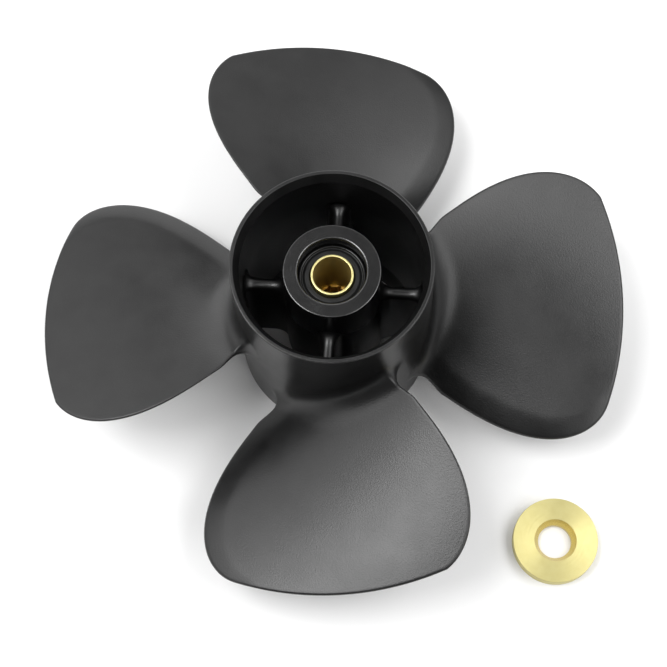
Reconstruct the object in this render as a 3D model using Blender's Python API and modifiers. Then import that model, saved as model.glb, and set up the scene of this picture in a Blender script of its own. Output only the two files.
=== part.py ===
"""Four-blade right-hand outboard propeller with through-hub exhaust, and its thrust washer.

Metres, +Z up. The shaft axis is +Z and points aft. The origin is on the floor, under the axis,
at the forward end of the barrel that the propeller stands on.
"""
import math

import bmesh
import bpy

PART_NAME = "outboard_propeller"

# Gap kept between two solids that touch on the real casting
SEAT_GAP = 0.0003
MERGE_DISTANCE = 0.00001

# Outer barrel
BARREL_LENGTH = 0.0855
BARREL_FORWARD_RADIUS = 0.0397
BARREL_AFT_RADIUS = 0.0391
BARREL_RIM_INNER_RADIUS = 0.0376
BARREL_RIM_ROUND = 0.0006
BARREL_STEP_HEIGHT = 0.0817
BARREL_STEP_RADIUS = 0.0355
BARREL_WAIST_TOP = 0.060
BARREL_WAIST_BOTTOM = 0.010
BARREL_WAIST_RADIUS = 0.0350
BARREL_FORWARD_INNER_RADIUS = 0.0320
BARREL_FORWARD_CHAMFER = 0.0006
BARREL_STEPS = 80

# Inner hub
HUB_BOTTOM = 0.008
HUB_TOP = 0.0792
HUB_TOP_RADIUS = 0.0190
HUB_BOTTOM_RADIUS = 0.0200
HUB_BORE_RADIUS = 0.0132
HUB_MOUTH_RADIUS = 0.0137
HUB_MOUTH_DEPTH = 0.0008
HUB_EDGE_CHAMFER = 0.0005
HUB_STEPS = 56

# Ribs between the hub and the barrel
RIB_COUNT = 4
RIB_FIRST_ANGLE = math.radians(-7.5)
RIB_THICKNESS = 0.0048
RIB_BOTTOM = 0.010
RIB_TOP = 0.0605
RIB_FILLET = 0.0025
RIB_ROUND_POINTS = 5
RIB_FILLET_ROWS = 3

# Rubber bushing and brass sleeve
BUSHING_BOTTOM = 0.012
BUSHING_TOP = 0.0731
BUSHING_TOP_RADIUS = 0.0120
BUSHING_SHOULDER = 0.0035
SLEEVE_BOTTOM = 0.008
SLEEVE_TOP = 0.07475
SLEEVE_RADIUS = 0.0084
SLEEVE_BORE_RADIUS = 0.0074
SLEEVE_EDGE_CHAMFER = 0.0003
SLEEVE_STEPS = 40
SPLINE_TOP = 0.0433
SPLINE_TIP_RADIUS = 0.0065
SPLINE_COUNT = 10
SPLINE_FIRST_ANGLE = math.radians(12.0)
SPLINE_GROOVE_WIDTH = 0.0023
SPLINE_GROOVE_CORNER_RADIUS = 0.00733
CUTTER_OVERRUN = 0.004

# Thrust washer, lying beside the propeller
WASHER_X = 0.0847
WASHER_Y = -0.0950
WASHER_THICKNESS = 0.006
WASHER_RADIUS = 0.01726
WASHER_MOUTH_RADIUS = 0.0086
WASHER_BORE_RADIUS = 0.0068
WASHER_BORE_TOP = 0.0025
WASHER_CHAMFER = 0.0005
WASHER_STEPS = 56

# Blades: radii, and angles from each blade's own reference line, positive towards the trailing edge
BLADE_COUNT = 4
TIP_RADIUS = 0.1175
ROOT_RADIUS = 0.0395
LEADING_ANGLE = math.radians(-39.0)
LEADING_TIP_ANGLE = math.radians(-22.6)
LEADING_STRAIGHT_RADIUS = 0.0610
TRAILING_ANGLE = math.radians(32.6)
TRAILING_TIP_ANGLE = math.radians(16.0)
TRAILING_STRAIGHT_RADIUS = 0.0626

# Blade face: helix pitch, rake, and how far the tip and the edges fall below the helix
ROOT_HEIGHT = 0.0386
RAKE_SLOPE = 0.0995
TIP_FALL = 0.0069
ROOT_PITCH = 0.1778
TIP_PITCH = 0.1650
ROOT_EDGE_FALL = 0.0017
TIP_EDGE_FALL = 0.0045

# Blade thickness, the bevel along the leading edge and the root fillet
EDGE_THICKNESS = 0.0017
ROOT_THICKNESS = 0.0072
THICKNESS_TAPER_POWER = 0.7
BEVEL_WIDTH = 0.0084
BEVEL_RISE = 0.0013
FILLET_MIDDLE_RADIUS = 0.0085
FILLET_EDGE_RADIUS = 0.0025
BLADE_CHORD_STEPS = 11
BLADE_FILLET_ROWS = 4
BLADE_STRAIGHT_ROWS = 2
BLADE_TIP_ROWS = 9

SMOOTH_ANGLE = math.radians(35)


def clear_scene():
    """Remove every object, so that the file always builds from nothing."""
    for old in list(bpy.data.objects):
        bpy.data.objects.remove(old, do_unlink=True)


def make_collection(name):
    """A new collection linked to the scene."""
    collection = bpy.data.collections.new(name)
    bpy.context.scene.collection.children.link(collection)
    return collection


def make_material(name, colour, roughness, metallic):
    """A Principled material with one colour, roughness and metallic value."""
    material = bpy.data.materials.new(name)
    material.use_nodes = True
    shader = material.node_tree.nodes["Principled BSDF"]
    shader.inputs["Base Color"].default_value = (*colour, 1.0)
    shader.inputs["Roughness"].default_value = roughness
    shader.inputs["Metallic"].default_value = metallic
    material.diffuse_color = (*colour, 1.0)
    return material


def add_object(name, mesh, material, collection):
    """Link a mesh as a named object with its own material, shaded smooth."""
    mesh.materials.append(material)
    mesh.shade_smooth()
    mesh.set_sharp_from_angle(angle=SMOOTH_ANGLE)
    obj = bpy.data.objects.new(name, mesh)
    collection.objects.link(obj)
    return obj


def mix(low, high, share):
    """The value a share of the way from low to high."""
    return low + (high - low) * share


def turned(name, profile, steps, material, collection):
    """A ring: a closed profile of (radius, height), down the outside and up the bore, spun about Z."""
    bm = bmesh.new()
    points = [bm.verts.new((radius, 0.0, height)) for radius, height in profile]
    for start, end in zip(points, points[1:] + points[:1]):
        bm.edges.new((start, end))
    mesh = bpy.data.meshes.new(name)
    bm.to_mesh(mesh)
    bm.free()
    obj = bpy.data.objects.new(name, mesh)
    mesh.materials.append(material)
    collection.objects.link(obj)
    spin = obj.modifiers.new("Spin", "SCREW")
    spin.axis = "Z"
    spin.angle = math.tau
    spin.screw_offset = 0.0
    spin.steps = steps
    spin.render_steps = steps
    spin.use_smooth_shade = True
    spin.use_merge_vertices = True
    spin.merge_threshold = MERGE_DISTANCE
    return obj


def loft(name, rows, first_middle, material, collection):
    """Skin closed loops of equal length in order, and close both ends across the loop.

    A loop runs along one side and back along the other. The first end is closed over a middle
    line, with a point for each pair of opposite stations, so that it can follow a round wall.
    """
    bm = bmesh.new()
    loops = [[bm.verts.new(point) for point in row] for row in rows]
    middle = [bm.verts.new(point) for point in first_middle]
    count = len(rows[0])
    for inner, outer in zip(loops, loops[1:]):
        for here in range(count):
            there = (here + 1) % count
            bm.faces.new((inner[here], outer[here], outer[there], inner[there]))
    first_side = loops[0][:count // 2]
    other_side = loops[0][:count // 2 - 1:-1]
    add_strip(bm, first_side, middle)
    add_strip(bm, middle, other_side)
    bm.faces.new((first_side[0], middle[0], other_side[0]))
    bm.faces.new((first_side[-1], other_side[-1], middle[-1]))
    add_strip(bm, loops[-1][:count // 2], loops[-1][:count // 2 - 1:-1])
    bmesh.ops.recalc_face_normals(bm, faces=bm.faces)
    mesh = bpy.data.meshes.new(name)
    bm.to_mesh(mesh)
    bm.free()
    return add_object(name, mesh, material, collection)


def add_strip(bm, first_line, second_line):
    """A strip of quads between two lines of as many points."""
    for here in range(len(first_line) - 1):
        bm.faces.new((first_line[here], first_line[here + 1], second_line[here + 1], second_line[here]))


def barrel_outer_radius(height):
    """The barrel's drafted outer radius at a height."""
    return mix(BARREL_FORWARD_RADIUS, BARREL_AFT_RADIUS, height / BARREL_LENGTH)


def barrel_inner_radius(height):
    """The barrel's inner radius at a height where the ribs meet it."""
    if height >= BARREL_WAIST_BOTTOM:
        return BARREL_WAIST_RADIUS
    share = height / BARREL_WAIST_BOTTOM
    return mix(BARREL_FORWARD_INNER_RADIUS, BARREL_WAIST_RADIUS, share)


def hub_outer_radius(height):
    """The inner hub's drafted outer radius at a height."""
    return mix(HUB_BOTTOM_RADIUS, HUB_TOP_RADIUS, (height - HUB_BOTTOM) / (HUB_TOP - HUB_BOTTOM))


def build_barrel(material, collection):
    """The outer tube: a drafted outside, a rounded aft lip and an inside that narrows forward."""
    lip = BARREL_RIM_ROUND
    chamfer = BARREL_FORWARD_CHAMFER
    profile = [
        (BARREL_AFT_RADIUS - lip, BARREL_LENGTH),
        (BARREL_AFT_RADIUS - lip * (1 - math.sqrt(0.5)), BARREL_LENGTH - lip * (1 - math.sqrt(0.5))),
        (BARREL_AFT_RADIUS, BARREL_LENGTH - lip),
        (BARREL_FORWARD_RADIUS, chamfer),
        (BARREL_FORWARD_RADIUS - chamfer, 0.0),
        (BARREL_FORWARD_INNER_RADIUS, 0.0),
        (BARREL_WAIST_RADIUS, BARREL_WAIST_BOTTOM),
        (BARREL_WAIST_RADIUS, BARREL_WAIST_TOP),
        (BARREL_STEP_RADIUS, BARREL_STEP_HEIGHT),
        (BARREL_RIM_INNER_RADIUS, BARREL_LENGTH - lip / 2),
        (BARREL_RIM_INNER_RADIUS + lip / 2, BARREL_LENGTH),
    ]
    return turned("outer_barrel", profile, BARREL_STEPS, material, collection)


def build_hub(material, collection):
    """The inner tube with its flat aft face, chamfered edges and bore for the bushing."""
    chamfer = HUB_EDGE_CHAMFER
    profile = [
        (HUB_TOP_RADIUS - chamfer, HUB_TOP),
        (HUB_TOP_RADIUS, HUB_TOP - chamfer),
        (HUB_BOTTOM_RADIUS, HUB_BOTTOM + chamfer),
        (HUB_BOTTOM_RADIUS - chamfer, HUB_BOTTOM),
        (HUB_BORE_RADIUS + chamfer, HUB_BOTTOM),
        (HUB_BORE_RADIUS, HUB_BOTTOM + chamfer),
        (HUB_BORE_RADIUS, HUB_TOP - HUB_MOUTH_DEPTH),
        (HUB_MOUTH_RADIUS, HUB_TOP),
    ]
    return turned("inner_hub", profile, HUB_STEPS, material, collection)


def rib_section(offset):
    """Half-width and height pairs round a rib's section, grown outwards by an offset.

    The section runs up one side and down the other, with a half-round top and bottom.
    """
    half = RIB_THICKNESS / 2
    arc = [math.pi / 2 * step / (RIB_ROUND_POINTS - 1) for step in range(RIB_ROUND_POINTS)]
    up = [(-(half + offset) * math.sin(a), RIB_BOTTOM + half - (half + offset) * math.cos(a)) for a in arc]
    up += [(-(half + offset) * math.cos(a), RIB_TOP - half + (half + offset) * math.sin(a)) for a in arc]
    down = [(-across, height) for across, height in reversed(up)]
    return up[1:-1] + down[1:-1]


def fillet_steps(rows):
    """(distance, growth) shares of a fillet's radius, from its wall outwards."""
    angles = [math.pi / 2 * step / rows for step in range(rows + 1)]
    return [(1 - math.cos(angle), 1 - math.sin(angle)) for angle in angles]


def build_rib(index, material, collection):
    """One rib: a rounded bar from hub to barrel that flares into a fillet at both ends."""
    turn = RIB_FIRST_ANGLE + index * math.tau / RIB_COUNT
    steps = fillet_steps(RIB_FILLET_ROWS)
    rows = []
    for distance, growth in steps:
        section = rib_section(growth * RIB_FILLET)
        rows.append([rib_point(hub_outer_radius(z) + SEAT_GAP + distance * RIB_FILLET, y, z)
                     for y, z in section])
    for distance, growth in reversed(steps):
        section = rib_section(growth * RIB_FILLET)
        rows.append([rib_point(barrel_inner_radius(z) - SEAT_GAP - distance * RIB_FILLET, y, z)
                     for y, z in section])
    middle = [rib_point(hub_outer_radius(z) + SEAT_GAP, 0.0, z)
              for y, z in rib_section(RIB_FILLET)[:len(rows[0]) // 2]]
    rib = loft(f"rib_{index + 1}", rows, middle, material, collection)
    rib.rotation_euler.z = turn
    return rib


def rib_point(radius, across, height):
    """A point of a rib along +X, at a radius from the shaft axis."""
    return (math.sqrt(radius * radius - across * across), across, height)


def build_bushing(material, collection):
    """The rubber ring, with a sloped shoulder that leaves a groove inside the hub's mouth."""
    outer = HUB_BORE_RADIUS - SEAT_GAP
    inner = SLEEVE_RADIUS + SEAT_GAP
    profile = [
        (BUSHING_TOP_RADIUS, BUSHING_TOP),
        (outer, BUSHING_TOP - BUSHING_SHOULDER),
        (outer, BUSHING_BOTTOM),
        (inner, BUSHING_BOTTOM),
        (inner, BUSHING_TOP),
    ]
    return turned("rubber_bushing", profile, SLEEVE_STEPS, material, collection)


def make_cutter(name, mesh, collection):
    """A cutter, drawn as wire and hidden from renders."""
    cutter = bpy.data.objects.new(name, mesh)
    cutter.hide_render = True
    cutter.display_type = "WIRE"
    collection.objects.link(cutter)
    return cutter


def counterbore_cutter(collection):
    """The smooth round bore above the splines."""
    top = SLEEVE_TOP + CUTTER_OVERRUN
    bm = bmesh.new()
    bmesh.ops.create_cone(bm, cap_ends=True, segments=SLEEVE_STEPS, radius1=SLEEVE_BORE_RADIUS,
                          radius2=SLEEVE_BORE_RADIUS, depth=top - SPLINE_TOP)
    bmesh.ops.translate(bm, verts=bm.verts, vec=(0, 0, (top + SPLINE_TOP) / 2))
    mesh = bpy.data.meshes.new("counterbore_cutter")
    bm.to_mesh(mesh)
    bm.free()
    return make_cutter("counterbore_cutter", mesh, collection)


def groove_cutter(collection):
    """The grooves between the spline teeth, as one bar for each groove."""
    bottom = SLEEVE_BOTTOM - CUTTER_OVERRUN
    top = SPLINE_TOP + CUTTER_OVERRUN / 4
    inner = SPLINE_TIP_RADIUS / 2 + SPLINE_GROOVE_WIDTH
    outer = math.sqrt(SPLINE_GROOVE_CORNER_RADIUS ** 2 - (SPLINE_GROOVE_WIDTH / 2) ** 2)
    bm = bmesh.new()
    for index in range(SPLINE_COUNT):
        bar = bmesh.ops.create_cube(bm, size=1.0)["verts"]
        bmesh.ops.scale(bm, verts=bar, vec=(outer - inner, SPLINE_GROOVE_WIDTH, top - bottom))
        bmesh.ops.translate(bm, verts=bar, vec=((outer + inner) / 2, 0, (top + bottom) / 2))
        turn = SPLINE_FIRST_ANGLE + math.tau * (index + 0.5) / SPLINE_COUNT
        for vert in bar:
            x, y, z = vert.co
            vert.co = (x * math.cos(turn) - y * math.sin(turn),
                       x * math.sin(turn) + y * math.cos(turn), z)
    mesh = bpy.data.meshes.new("groove_cutter")
    bm.to_mesh(mesh)
    bm.free()
    return make_cutter("groove_cutter", mesh, collection)


def build_sleeve(material, collection, cutters):
    """The brass tube: a ring bored to the spline tips, then counterbored and grooved."""
    chamfer = SLEEVE_EDGE_CHAMFER
    profile = [
        (SLEEVE_RADIUS - chamfer, SLEEVE_TOP),
        (SLEEVE_RADIUS, SLEEVE_TOP - chamfer),
        (SLEEVE_RADIUS, SLEEVE_BOTTOM + chamfer),
        (SLEEVE_RADIUS - chamfer, SLEEVE_BOTTOM),
        (SPLINE_TIP_RADIUS, SLEEVE_BOTTOM),
        (SPLINE_TIP_RADIUS, SLEEVE_TOP),
    ]
    sleeve = turned("splined_sleeve", profile, SLEEVE_STEPS, material, collection)
    for cutter in (counterbore_cutter(cutters), groove_cutter(cutters)):
        cut = sleeve.modifiers.new("Cut", "BOOLEAN")
        cut.operation = "DIFFERENCE"
        cut.solver = "EXACT"
        cut.object = cutter
    return sleeve


def build_washer(material, collection):
    """The thrust washer: a flat ring whose hole narrows from its upper face to a short bore."""
    chamfer = WASHER_CHAMFER
    profile = [
        (WASHER_RADIUS - chamfer, WASHER_THICKNESS),
        (WASHER_RADIUS, WASHER_THICKNESS - chamfer),
        (WASHER_RADIUS, chamfer),
        (WASHER_RADIUS - chamfer, 0.0),
        (WASHER_BORE_RADIUS, 0.0),
        (WASHER_BORE_RADIUS, WASHER_BORE_TOP),
        (WASHER_MOUTH_RADIUS, WASHER_THICKNESS),
    ]
    washer = turned("thrust_washer", profile, WASHER_STEPS, material, collection)
    washer.location = (WASHER_X, WASHER_Y, 0.0)
    return washer


def edge_angle(radius, root_angle, tip_angle, straight_radius):
    """A blade edge: radial out to a radius, then a quarter ellipse in to the tip arc's end."""
    if radius <= straight_radius:
        return root_angle
    share = min((radius - straight_radius) / (TIP_RADIUS - straight_radius), 1.0)
    return mix(tip_angle, root_angle, math.sqrt(1 - share * share))


def leading_angle(radius):
    """The leading edge's angle at a radius."""
    return edge_angle(radius, LEADING_ANGLE, LEADING_TIP_ANGLE, LEADING_STRAIGHT_RADIUS)


def trailing_angle(radius):
    """The trailing edge's angle at a radius."""
    return edge_angle(radius, TRAILING_ANGLE, TRAILING_TIP_ANGLE, TRAILING_STRAIGHT_RADIUS)


def span_share(radius):
    """0 at the blade's root and 1 at its tip."""
    return (radius - ROOT_RADIUS) / (TIP_RADIUS - ROOT_RADIUS)


def face_height(radius, angle):
    """The height of the blade's aft face before its bevel."""
    share = span_share(radius)
    helix = mix(ROOT_PITCH, TIP_PITCH, share) * angle / math.tau
    axis = ROOT_HEIGHT + RAKE_SLOPE * (radius - ROOT_RADIUS) - TIP_FALL * share ** 2
    return axis + helix - mix(ROOT_EDGE_FALL, TIP_EDGE_FALL, share) * angle ** 2


def blade_thickness(radius, chord_place):
    """Thickness square to the blade; chord_place is -1 at the leading edge, 1 at the trailing."""
    taper = max(1 - span_share(radius), 0.0) ** THICKNESS_TAPER_POWER
    return EDGE_THICKNESS + (ROOT_THICKNESS - EDGE_THICKNESS) * taper * (1 - chord_place ** 2)


def section_point(radius, chord_place, side):
    """(angle, height) of a point of the blade's section; side is 1 on the aft face, -1 behind it."""
    leading = leading_angle(radius)
    trailing = trailing_angle(radius)
    angle = mix(leading, trailing, (chord_place + 1) / 2)
    from_edge = min((angle - leading) * radius / BEVEL_WIDTH, 1.0)
    bevel = BEVEL_RISE * math.sin(from_edge * math.pi / 2)
    height = face_height(radius, angle) + bevel
    if side < 0:
        slope = mix(ROOT_PITCH, TIP_PITCH, span_share(radius)) / (math.tau * radius)
        height -= blade_thickness(radius, chord_place) * math.sqrt(1 + slope * slope)
    return angle, height


def chord_places():
    """Stations round a section: along the aft face to the trailing edge, then back behind it."""
    stations = [2 * step / BLADE_CHORD_STEPS - 1 for step in range(BLADE_CHORD_STEPS + 1)]
    stations[1] = mix(stations[0], stations[1], 0.6)
    return [(place, 1) for place in stations] + [(place, -1) for place in reversed(stations)]


def fillet_radius(chord_place):
    """The root fillet, full in the middle of the chord and small at the edges."""
    return mix(FILLET_EDGE_RADIUS, FILLET_MIDDLE_RADIUS, 1 - chord_place ** 2)


def fillet_row(distance, growth):
    """One loop of the root fillet, at a share of the fillet's radius out from the barrel."""
    places = chord_places()
    flat = []
    for place, side in places:
        radius = ROOT_RADIUS + SEAT_GAP + distance * fillet_radius(place)
        angle, height = section_point(radius, place, side)
        flat.append((radius * angle, height))
    row = []
    count = len(flat)
    for here, (place, side) in enumerate(places):
        before = flat[here - 1]
        after = flat[(here + 1) % count]
        along = (after[0] - before[0], after[1] - before[1])
        size = math.hypot(*along)
        reach = growth * fillet_radius(place)
        arc = flat[here][0] - along[1] / size * reach
        height = flat[here][1] + along[0] / size * reach
        base = barrel_outer_radius(height) + SEAT_GAP
        radius = base + distance * fillet_radius(place)
        row.append(polar_point(radius, arc / (ROOT_RADIUS + distance * fillet_radius(place)), height))
    return row


def root_middle(row):
    """The line on the barrel halfway between the two sides of the root loop."""
    middle = []
    for here in range(len(row) // 2):
        front = row[here]
        back = row[len(row) - 1 - here]
        angle = (math.atan2(front[1], front[0]) + math.atan2(back[1], back[0])) / 2
        height = (front[2] + back[2]) / 2
        middle.append(polar_point(barrel_outer_radius(height) + SEAT_GAP, angle, height))
    return middle


def polar_point(radius, angle, height):
    """A point at an angle from +X."""
    return (radius * math.cos(angle), radius * math.sin(angle), height)


def blade_row(radius):
    """One loop of the blade at a constant radius."""
    row = []
    for place, side in chord_places():
        angle, height = section_point(radius, place, side)
        row.append(polar_point(radius, angle, height))
    return row


def blade_radii():
    """Radii of the rows beyond the fillet, closer together towards the rounded tip."""
    start = ROOT_RADIUS + FILLET_MIDDLE_RADIUS
    radii = [mix(start, LEADING_STRAIGHT_RADIUS, step / BLADE_STRAIGHT_ROWS)
             for step in range(1, BLADE_STRAIGHT_ROWS + 1)]
    for step in range(1, BLADE_TIP_ROWS + 1):
        share = math.sin(math.pi / 2 * step / BLADE_TIP_ROWS)
        radii.append(mix(LEADING_STRAIGHT_RADIUS, TIP_RADIUS, share))
    return radii


def build_blade(index, material, collection):
    """One blade, lofted from its root fillet out to the tip arc."""
    rows = [fillet_row(distance, growth) for distance, growth in fillet_steps(BLADE_FILLET_ROWS)]
    rows += [blade_row(radius) for radius in blade_radii()]
    blade = loft(f"blade_{index + 1}", rows, root_middle(rows[0]), material, collection)
    blade.rotation_euler.z = index * math.tau / BLADE_COUNT
    return blade


def build_part():
    """Build every sub-part into the part's collection, and the cutters into another."""
    clear_scene()
    part = make_collection(PART_NAME)
    cutters = make_collection("cutters")
    barrel_coat = make_material("black_coat", (0.035, 0.036, 0.038), 0.45, 0.0)
    hub_coat = make_material("black_coat_hub", (0.035, 0.036, 0.038), 0.50, 0.0)
    blade_coat = make_material("black_coat_blade", (0.045, 0.046, 0.048), 0.42, 0.0)
    rubber = make_material("bushing_rubber", (0.05, 0.05, 0.052), 0.75, 0.0)
    sleeve_brass = make_material("sleeve_brass", (0.80, 0.62, 0.25), 0.25, 1.0)
    washer_brass = make_material("washer_brass", (0.85, 0.72, 0.42), 0.30, 1.0)
    build_barrel(barrel_coat, part)
    build_hub(hub_coat, part)
    build_bushing(rubber, part)
    build_sleeve(sleeve_brass, part, cutters)
    build_washer(washer_brass, part)
    for index in range(RIB_COUNT):
        build_rib(index, barrel_coat, part)
    for index in range(BLADE_COUNT):
        build_blade(index, blade_coat, part)


build_part()
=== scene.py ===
"""Looks of the outboard propeller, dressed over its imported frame.

Metres, +Z up. The shaft axis is +Z and points aft. Each visible piece is a fine mesh that stands
for one CAD node, in the place and at the size of that node.
"""
import math

import bmesh
import bpy
from mathutils import Matrix, Vector


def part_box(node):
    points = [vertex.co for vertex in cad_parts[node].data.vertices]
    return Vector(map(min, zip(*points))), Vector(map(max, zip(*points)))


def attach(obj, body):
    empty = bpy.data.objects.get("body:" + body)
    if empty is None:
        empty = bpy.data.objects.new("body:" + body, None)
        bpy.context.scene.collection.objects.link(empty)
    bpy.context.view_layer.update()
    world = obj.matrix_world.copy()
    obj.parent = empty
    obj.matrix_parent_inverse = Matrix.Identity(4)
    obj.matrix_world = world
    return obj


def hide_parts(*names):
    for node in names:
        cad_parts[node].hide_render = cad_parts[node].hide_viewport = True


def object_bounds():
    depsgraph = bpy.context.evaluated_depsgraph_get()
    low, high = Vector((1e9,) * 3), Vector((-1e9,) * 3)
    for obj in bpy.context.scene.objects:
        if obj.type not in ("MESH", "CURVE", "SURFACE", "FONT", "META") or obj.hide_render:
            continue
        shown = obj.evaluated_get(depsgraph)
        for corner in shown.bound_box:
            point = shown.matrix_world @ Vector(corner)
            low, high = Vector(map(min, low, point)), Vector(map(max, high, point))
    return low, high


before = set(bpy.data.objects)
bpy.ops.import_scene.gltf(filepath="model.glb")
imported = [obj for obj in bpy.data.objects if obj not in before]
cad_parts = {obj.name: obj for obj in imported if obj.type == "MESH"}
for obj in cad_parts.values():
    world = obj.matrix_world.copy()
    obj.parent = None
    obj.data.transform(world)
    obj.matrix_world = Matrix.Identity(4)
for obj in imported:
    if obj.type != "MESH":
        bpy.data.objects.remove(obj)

CAD_LOW, CAD_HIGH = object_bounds()
BARREL_LOW, BARREL_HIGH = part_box("outer_barrel")
HUB_LOW, HUB_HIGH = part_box("inner_hub")
MM = 0.001

# Turned pieces. Past each end of a rounding comes one more point, so that the flats shade flat
SPIN_STEPS = 256
ARC_STEPS = 6
ARC_SUPPORT = 0.08 * MM

# Fillets where one piece of the casting runs into another
FILLET_ROWS = 12
SKIRT_LENGTH = 0.8 * MM
SKIRT_SINK = 0.015 * MM

# Outer barrel
BARREL_AFT_RADIUS = 39.1 * MM
BARREL_FORWARD_INNER_RADIUS = 32.0 * MM
BARREL_WAIST_RADIUS = 35.0 * MM
BARREL_WAIST_BOTTOM = 10.0 * MM
BARREL_WAIST_TOP = 60.0 * MM
BARREL_STEP_RADIUS = 35.5 * MM
BARREL_STEP_HEIGHT = 81.7 * MM
BARREL_RIM_INNER_RADIUS = 37.6 * MM
BARREL_LIP_ROUND = 0.55 * MM
BARREL_EDGE_ROUND = 0.3 * MM
BARREL_BEND_ROUND = 6.0 * MM

# Inner hub
HUB_TOP_RADIUS = 19.0 * MM
HUB_BORE_RADIUS = 13.2 * MM
HUB_MOUTH_ROUND = 0.85 * MM
HUB_RIM_ROUND = 0.6 * MM
HUB_EDGE_ROUND = 0.4 * MM

# Ribs
RIB_COUNT = 4
RIB_FIRST_ANGLE = math.radians(-7.5)
RIB_THICKNESS = 4.9 * MM
RIB_EDGE_ROUND = 2.3 * MM
RIB_BOTTOM = 10.0 * MM
RIB_TOP = 60.5 * MM
RIB_FILLET_REACH = 5.5 * MM
RIB_FILLET_RISE = 2.8 * MM

# Rubber bushing and brass sleeve
PRESS_CLEARANCE = 0.03 * MM
BUSHING_BEAD_RADIUS = 12.4 * MM
BUSHING_BEAD_ROUND = 0.5 * MM
BUSHING_VALLEY_RADIUS = 11.7 * MM
BUSHING_VALLEY_DEPTH = 1.0 * MM
BUSHING_LAND_OUTER_RADIUS = 10.6 * MM
BUSHING_LAND_INNER_RADIUS = 9.0 * MM
BUSHING_LAND_DROP = 0.3 * MM
BUSHING_SHOULDER = 0.6 * MM
BUSHING_EDGE_ROUND = 0.3 * MM
SLEEVE_BORE_RADIUS = 7.4 * MM
SLEEVE_EDGE_ROUND = 0.25 * MM
SLEEVE_RIM_ROUND = 0.4 * MM
SPLINE_TOP = 43.3 * MM
SPLINE_TIP_RADIUS = 6.5 * MM
SPLINE_ROOT_RADIUS = 7.3 * MM
SPLINE_COUNT = 10
SPLINE_FIRST_ANGLE = math.radians(12.0)
SPLINE_POINTS = 24
SPLINE_LAND_SHARE = 0.58
SPLINE_FLANK_SHARE = 0.12
SLEEVE_SHARP_ANGLE = math.radians(40)

# Thrust washer
WASHER_BORE_RADIUS = 6.8 * MM
WASHER_BORE_TOP = 2.5 * MM
WASHER_MOUTH_RADIUS = 8.6 * MM
WASHER_EDGE_ROUND = 0.2 * MM
WASHER_MOUTH_ROUND = 0.15 * MM

# Blades: radii, and angles from each blade's own reference line, positive towards the trailing edge
BLADE_COUNT = 4
TIP_RADIUS = (CAD_HIGH.x - CAD_LOW.x) / 2
ROOT_RADIUS = 39.5 * MM
LEADING_ANGLE = math.radians(-39.0)
LEADING_TIP_ANGLE = math.radians(-22.6)
LEADING_STRAIGHT_RADIUS = 61.0 * MM
TRAILING_ANGLE = math.radians(32.6)
TRAILING_TIP_ANGLE = math.radians(15.4)
TRAILING_STRAIGHT_RADIUS = 62.6 * MM
TRAILING_FULLNESS = 0.985
SPINE_ANGLE = (LEADING_ANGLE + TRAILING_ANGLE) / 2
WAIST_ANGLE = math.radians(2.4)
WAIST_INNER_RADIUS = 44.0 * MM
WAIST_OUTER_RADIUS = 55.0 * MM

# Blade face, as in the CAD but for the edge fall, which is straight past a small angle: height
# and rake of the root, helix pitch, and the fall towards the tip and the edges
ROOT_HEIGHT = 38.6 * MM
RAKE_SLOPE = 0.0995
TIP_FALL = 6.9 * MM
ROOT_PITCH = 177.8 * MM
TIP_PITCH = 165.0 * MM
ROOT_EDGE_FALL = 1.7 * MM
TIP_EDGE_FALL = 4.5 * MM
EDGE_FALL_STRAIGHT_ANGLE = 0.03
FACE_RAISE = 1.3 * MM
EDGE_THICKNESS = 1.7 * MM
ROOT_THICKNESS = 7.2 * MM
THICKNESS_TAPER_POWER = 0.7

# Bevel along the leading edge: it steepens towards the edge, and narrows to nothing a little way
# along the tip arc
BEVEL_WIDTH = 8.6 * MM
BEVEL_INNER_SLOPE = math.tan(math.radians(6.5))
BEVEL_EDGE_SLOPE = math.tan(math.radians(14.0))
BEVEL_END_ANGLE = math.radians(-18.5)
BEVEL_NARROWING_POWER = 2.4
BEVEL_SOFTNESS = 0.6 * MM

# Root fillet, on the faces and round both edges
FILLET_REACH = 13.0 * MM
FILLET_LEADING_REACH = 6.5 * MM
FILLET_TRAILING_REACH = 10.5 * MM
FILLET_FULL_PLACE = 0.1
FILLET_RISE = 8.7 * MM
FILLET_LEADING_RISE = 6.5 * MM
FILLET_LEADING_SHARE = 0.35
FILLET_LEADING_RADIUS = 5.2 * MM
FILLET_TRAILING_RADIUS = 7.5 * MM

# The blade's mesh: rows out to the pole radius, then rays from the pole to the outline
STRAIGHT_ROWS = 14
POLE_RADIUS = 75.0 * MM
EDGE_ROUND_COLUMNS = 6
BAND_COLUMNS = 14
BAND_REACH = 11.5 * MM
INNER_COLUMNS = 11
EDGE_RAYS = 30
TIP_ARC_RAYS = 38

# Looks. A pair of numbers is the range of a roughness or of a specular level, and a pair of
# colours is the range of a colour
NOISE_RANGE = (0.3, 0.7)
DETAIL = 3.0
FINE_DETAIL = 2.0

# Powder coat
COAT_PATCH = 12 * MM
COAT_COLOURS = ((0.0020, 0.0020, 0.0021), (0.0035, 0.0035, 0.0036))
COAT_ROUGHNESS = (0.30, 0.36)
COAT_SPECULAR = (0.48, 0.52)
COAT_PEEL = 0.6 * MM
COAT_PEEL_HEIGHT = 0.055 * MM

# The hub's aft face is worn between two radii, and its edges to either side of them more so
HUB_FACE_INNER_RADIUS = 13.9 * MM
HUB_FACE_OUTER_RADIUS = 18.4 * MM
HUB_FACE_FADE = 0.2 * MM
HUB_FACE_ROUGHNESS = (0.24, 0.28)
HUB_FACE_SPECULAR = (0.53, 0.57)
HUB_EDGE_OUTER_RADIUS = 19.1 * MM
HUB_EDGE_FADE = 0.3 * MM
HUB_EDGE_ROUGHNESS = (0.13, 0.17)
HUB_EDGE_SPECULAR = (0.95, 1.0)

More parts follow.
